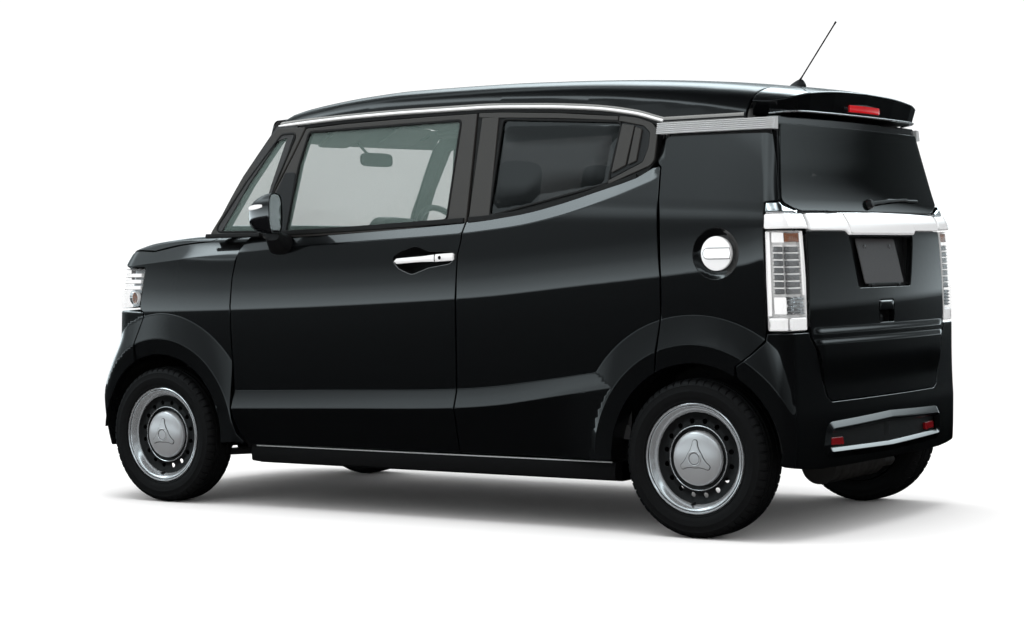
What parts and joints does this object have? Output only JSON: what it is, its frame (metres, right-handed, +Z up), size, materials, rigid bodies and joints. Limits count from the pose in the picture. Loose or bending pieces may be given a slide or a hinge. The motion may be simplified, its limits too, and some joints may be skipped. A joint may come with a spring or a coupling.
{
  "type": "kei car",
  "caption": "Boxy five-door kei car on steel wheels, with opening doors, tailgate, bonnet and fuel lid, steering front wheels and rolling wheels.",
  "frame": {"origin": "on the ground under the middle of the car's overall length and width", "axes": "+X forward, +Y to the car's left, +Z up"},
  "size_m": [3.395, 1.86, 1.8363],
  "materials": {
    "body_paint": "gloss black",
    "clear_glass": "light green tint",
    "dark_glass": "dark privacy tint",
    "tyre_rubber": "matt",
    "wheel_steel": "black steel with silver trim ring and cap",
    "lamp_clear": "clear lens",
    "underbody": "satin dark grey",
    "cast_metal": "rough casting",
    "axle_steel": "satin black",
    "tank_plastic": "moulded",
    "exhaust_steel": "dull",
    "interior_plastic": "grained",
    "seat_fabric": "woven",
    "grille_plastic": "gloss black",
    "chrome_trim": "bright",
    "black_plastic": "satin"
  },
  "bodies": {
    "body": {"floor_pan": "underbody", "engine_block": "cast_metal", "front_subframe": "axle_steel", "rear_axle": "axle_steel", "fuel_tank": "tank_plastic", "exhaust": "exhaust_steel", "dashboard": "interior_plastic", "roof": "body_paint", "windscreen": "clear_glass", "front_quarter_glass": "clear_glass", "front_fenders": "body_paint", "door_pillars": "body_paint", "quarter_panels": "body_paint", "front_bumper": "body_paint", "grille": "grille_plastic", "headlamps": "lamp_clear", "rear_bumper": "body_paint", "tail_lamps": "lamp_clear", "front_seats": "seat_fabric", "rear_seat": "seat_fabric", "antenna": "black_plastic"},
    "front_door_left": {"front_door_left": "body_paint", "front_door_glass_left": "clear_glass", "door_mirror_left": "body_paint"},
    "front_door_right": {"front_door_right": "body_paint", "front_door_glass_right": "clear_glass", "door_mirror_right": "body_paint"},
    "rear_door_left": {"rear_door_left": "body_paint", "rear_door_glass_left": "dark_glass"},
    "rear_door_right": {"rear_door_right": "body_paint", "rear_door_glass_right": "dark_glass"},
    "tailgate": {"tailgate": "body_paint", "tailgate_glass": "dark_glass"},
    "bonnet": {"bonnet": "body_paint"},
    "fuel_lid": {"fuel_lid": "chrome_trim"},
    "hub_carrier_left": {"hub_carrier_left": "cast_metal"},
    "hub_carrier_right": {"hub_carrier_right": "cast_metal"},
    "steering_wheel": {"steering_wheel": "black_plastic"},
    "wheel_front_left": {"tyre_front_left": "tyre_rubber", "wheel_front_left": "wheel_steel"},
    "wheel_front_right": {"tyre_front_right": "tyre_rubber", "wheel_front_right": "wheel_steel"},
    "wheel_rear_left": {"tyre_rear_left": "tyre_rubber", "wheel_rear_left": "wheel_steel"},
    "wheel_rear_right": {"tyre_rear_right": "tyre_rubber", "wheel_rear_right": "wheel_steel"}
  },
  "joints": [
    {"name": "front_door_left_hinge", "type": "hinge", "parent": "body", "child": "front_door_left", "pos_m": [0.7805, 0.712, 0.62], "axis": [0, 0, -1], "range_deg": [0, 66]},
    {"name": "front_door_right_hinge", "type": "hinge", "parent": "body", "child": "front_door_right", "pos_m": [0.7805, -0.712, 0.62], "axis": [0, 0, 1], "range_deg": [0, 66]},
    {"name": "rear_door_left_hinge", "type": "hinge", "parent": "body", "child": "rear_door_left", "pos_m": [-0.3405, 0.712, 0.62], "axis": [0, 0, -1], "range_deg": [0, 76]},
    {"name": "rear_door_right_hinge", "type": "hinge", "parent": "body", "child": "rear_door_right", "pos_m": [-0.3405, -0.712, 0.62], "axis": [0, 0, 1], "range_deg": [0, 76]},
    {"name": "tailgate_hinge", "type": "hinge", "parent": "body", "child": "tailgate", "pos_m": [-1.4525, 0, 1.585], "axis": [0, 1, 0], "range_deg": [0, 80]},
    {"name": "bonnet_hinge", "type": "hinge", "parent": "body", "child": "bonnet", "pos_m": [1.0375, 0, 1.075], "axis": [0, -1, 0], "range_deg": [0, 50]},
    {"name": "fuel_lid_hinge", "type": "hinge", "parent": "body", "child": "fuel_lid", "pos_m": [-1.3145, 0.7165, 0.988], "axis": [0, 0, -1], "range_deg": [0, 95]},
    {"name": "steer_left", "type": "hinge", "parent": "body", "child": "hub_carrier_left", "pos_m": [1.23, 0.54, 0.2785], "axis": [0, 0, 1], "range_deg": [-35, 35]},
    {"name": "steer_right", "type": "hinge", "parent": "body", "child": "hub_carrier_right", "pos_m": [1.23, -0.54, 0.2785], "axis": [0, 0, 1], "range_deg": [-35, 35]},
    {"name": "steering_wheel_turn", "type": "hinge", "parent": "body", "child": "steering_wheel", "pos_m": [0.4975, -0.3, 1.05], "axis": [-0.8988, 0, 0.4384], "range_deg": [-508, 508]},
    {"name": "spin_front_left", "type": "hinge", "parent": "hub_carrier_left", "child": "wheel_front_left", "pos_m": [1.23, 0.6525, 0.2785], "axis": [0, 1, 0], "continuous": true},
    {"name": "spin_front_right", "type": "hinge", "parent": "hub_carrier_right", "child": "wheel_front_right", "pos_m": [1.23, -0.6525, 0.2785], "axis": [0, 1, 0], "continuous": true},
    {"name": "spin_rear_left", "type": "hinge", "parent": "body", "child": "wheel_rear_left", "pos_m": [-1.29, 0.6525, 0.2785], "axis": [0, 1, 0], "continuous": true},
    {"name": "spin_rear_right", "type": "hinge", "parent": "body", "child": "wheel_rear_right", "pos_m": [-1.29, -0.6525, 0.2785], "axis": [0, 1, 0], "continuous": true}
  ],
  "couplings": [
    {"joint": "steer_right", "follows": "steer_left", "ratio": 1},
    {"joint": "steering_wheel_turn", "follows": "steer_left", "ratio": 14.5}
  ]
}
